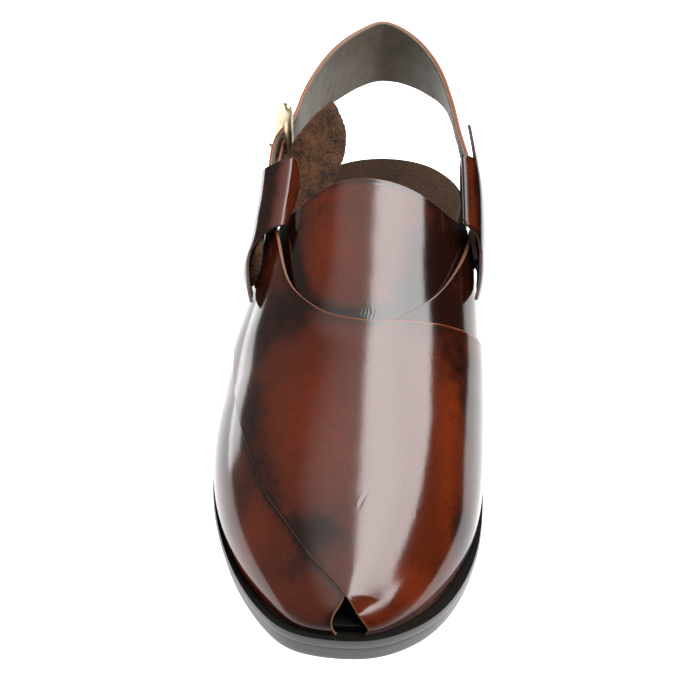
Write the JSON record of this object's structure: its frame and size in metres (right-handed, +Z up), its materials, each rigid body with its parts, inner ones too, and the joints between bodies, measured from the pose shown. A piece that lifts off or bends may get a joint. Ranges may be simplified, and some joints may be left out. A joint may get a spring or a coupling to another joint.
{
  "type": "peshawari chappal",
  "caption": "Right-foot peshawari chappal: crossed leather panels with a toe wedge, tongue, folded side loops, buckled heel strap and heeled sole.",
  "frame": {"origin": "on the floor under the centre of the shoe's box", "axes": "+Y toward the heel, +X toward the medial side, +Z up"},
  "size_m": [0.1114, 0.29, 0.1068],
  "materials": {
    "polished_leather": "highly polished burnished chestnut leather",
    "sole": "black sole with a glossy dressed edge",
    "insole_leather": "pebbled dark brown lining leather",
    "suede": "rough brown suede",
    "antique_brass": "antique brass, worn smooth"
  },
  "bodies": {
    "root": {"outsole": "sole", "heel": "sole", "insole": "insole_leather", "upper": "polished_leather", "tongue": "polished_leather", "lateral_loop": "polished_leather", "medial_loop": "polished_leather", "heel_strap": "polished_leather", "buckle": "antique_brass", "buckle_prong": "antique_brass", "buckle_billet": "polished_leather", "buckle_guard": "suede"}
  },
  "joints": []
}
